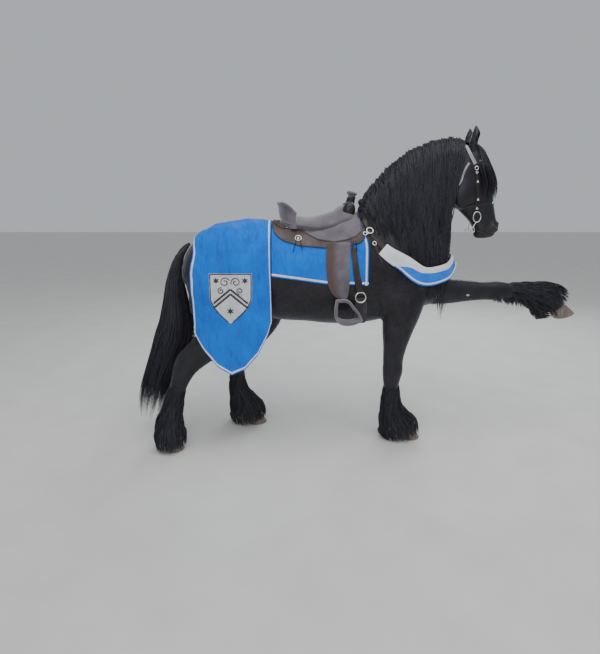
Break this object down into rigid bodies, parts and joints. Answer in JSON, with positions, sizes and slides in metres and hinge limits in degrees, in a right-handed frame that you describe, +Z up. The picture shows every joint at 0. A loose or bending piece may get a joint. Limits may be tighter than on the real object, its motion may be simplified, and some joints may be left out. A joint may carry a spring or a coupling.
{
  "type": "horse",
  "caption": "Life-size black Friesian horse in western show dress with blue cloths, standing on three feet and holding its left foreleg out level",
  "frame": {"origin": "middle of the bounding box's base", "axes": "+X forward, the way the horse faces, +Y to its left, +Z up"},
  "size_m": [3.2098, 0.7246, 2.1718],
  "materials": {
    "black_coat": "short fur and long hair, black with a blue-grey sheen",
    "hoof_horn": "satin horn",
    "eye": "wet",
    "blue_cloth": "quilted satin cloth",
    "silver_cloth": "embroidered patch",
    "grey_suede": "suede",
    "brown_leather": "tooled, satin",
    "black_leather": "satin",
    "grey_mohair": "corded",
    "silver_metal": "polished"
  },
  "bodies": {
    "root": {"torso": "black_coat", "neck": "black_coat", "head": "black_coat", "tail": "black_coat", "ear_right": "black_coat", "ear_left": "black_coat", "fore_leg_right_upper": "black_coat", "fore_leg_right_lower": "black_coat", "fore_leg_right_hoof": "hoof_horn", "fore_leg_left_upper": "black_coat", "fore_leg_left_lower": "black_coat", "fore_leg_left_hoof": "hoof_horn", "hind_leg_right_upper": "black_coat", "hind_leg_right_lower": "black_coat", "hind_leg_right_hoof": "hoof_horn", "hind_leg_left_upper": "black_coat", "hind_leg_left_lower": "black_coat", "hind_leg_left_hoof": "hoof_horn", "eye_right": "eye", "eye_left": "eye", "caparison": "blue_cloth", "saddle_cloth": "blue_cloth", "breast_banner": "blue_cloth", "shield_patch_right": "silver_cloth", "shield_patch_left": "silver_cloth", "saddle_seat": "grey_suede", "fender_right": "grey_suede", "fender_left": "grey_suede", "stirrup_right": "grey_suede", "stirrup_left": "grey_suede", "saddle_skirt": "brown_leather", "latigo_right": "brown_leather", "latigo_left": "brown_leather", "saddle_horn": "black_leather", "headstall": "black_leather", "browband": "black_leather", "noseband": "black_leather", "throatlatch": "black_leather", "girth": "grey_mohair", "cinch_ring_right": "silver_metal", "cinch_ring_left": "silver_metal", "bit_right": "silver_metal", "bit_left": "silver_metal"}
  },
  "joints": []
}
